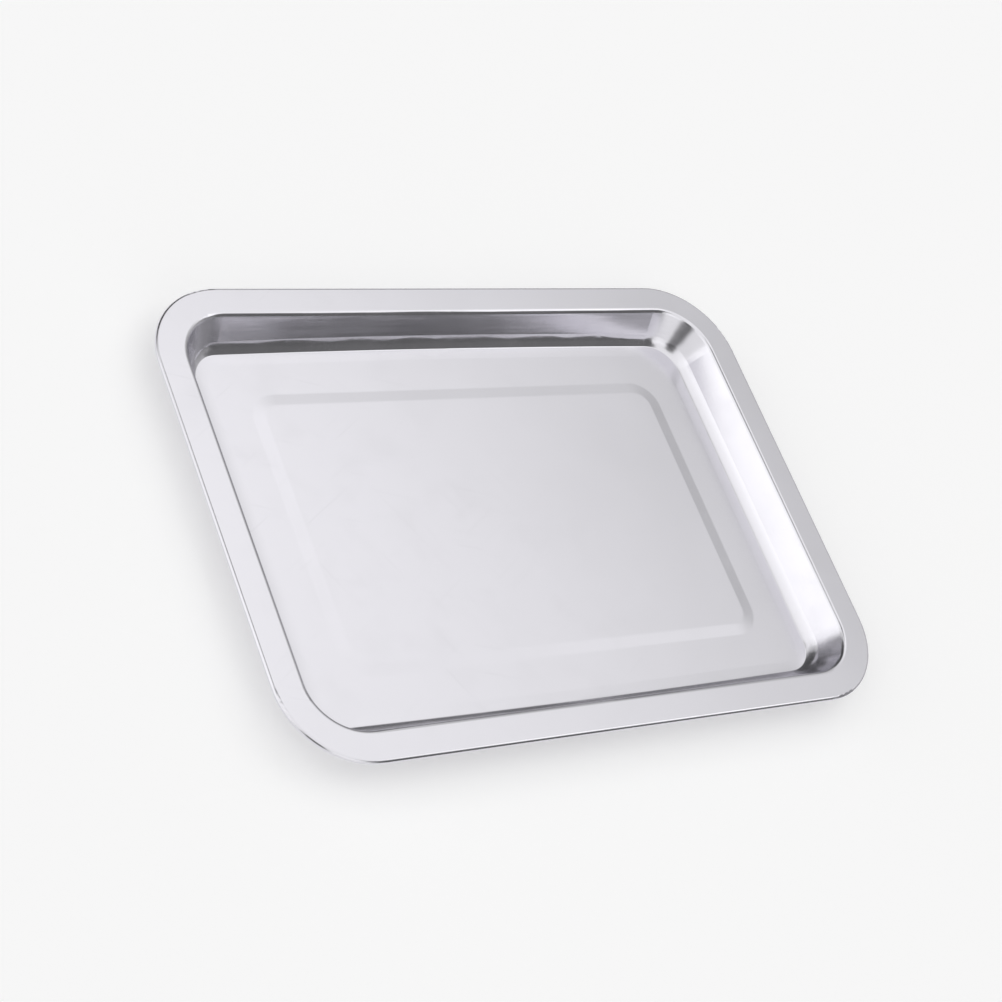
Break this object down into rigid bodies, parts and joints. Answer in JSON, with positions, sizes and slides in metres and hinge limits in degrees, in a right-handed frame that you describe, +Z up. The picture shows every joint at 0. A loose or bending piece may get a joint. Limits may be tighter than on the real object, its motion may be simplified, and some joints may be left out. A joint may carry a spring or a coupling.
{
  "type": "counting tray",
  "caption": "Shallow rectangular stainless steel tray with a flat rolled rim, sloped walls, rounded corners and a raised floor panel.",
  "frame": {"origin": "centre of the tray's base, on the surface that it stands on", "axes": "+X along the length, +Y across the width, +Z up out of the well"},
  "size_m": [0.36, 0.265, 0.02],
  "materials": {
    "polished_steel": "bright polished stainless steel sheet, softly hazy on the flats",
    "wire_steel": "drawn steel wire, dull"
  },
  "bodies": {
    "root": {"tray_pan": "polished_steel", "rim_wire": "wire_steel"}
  },
  "joints": []
}
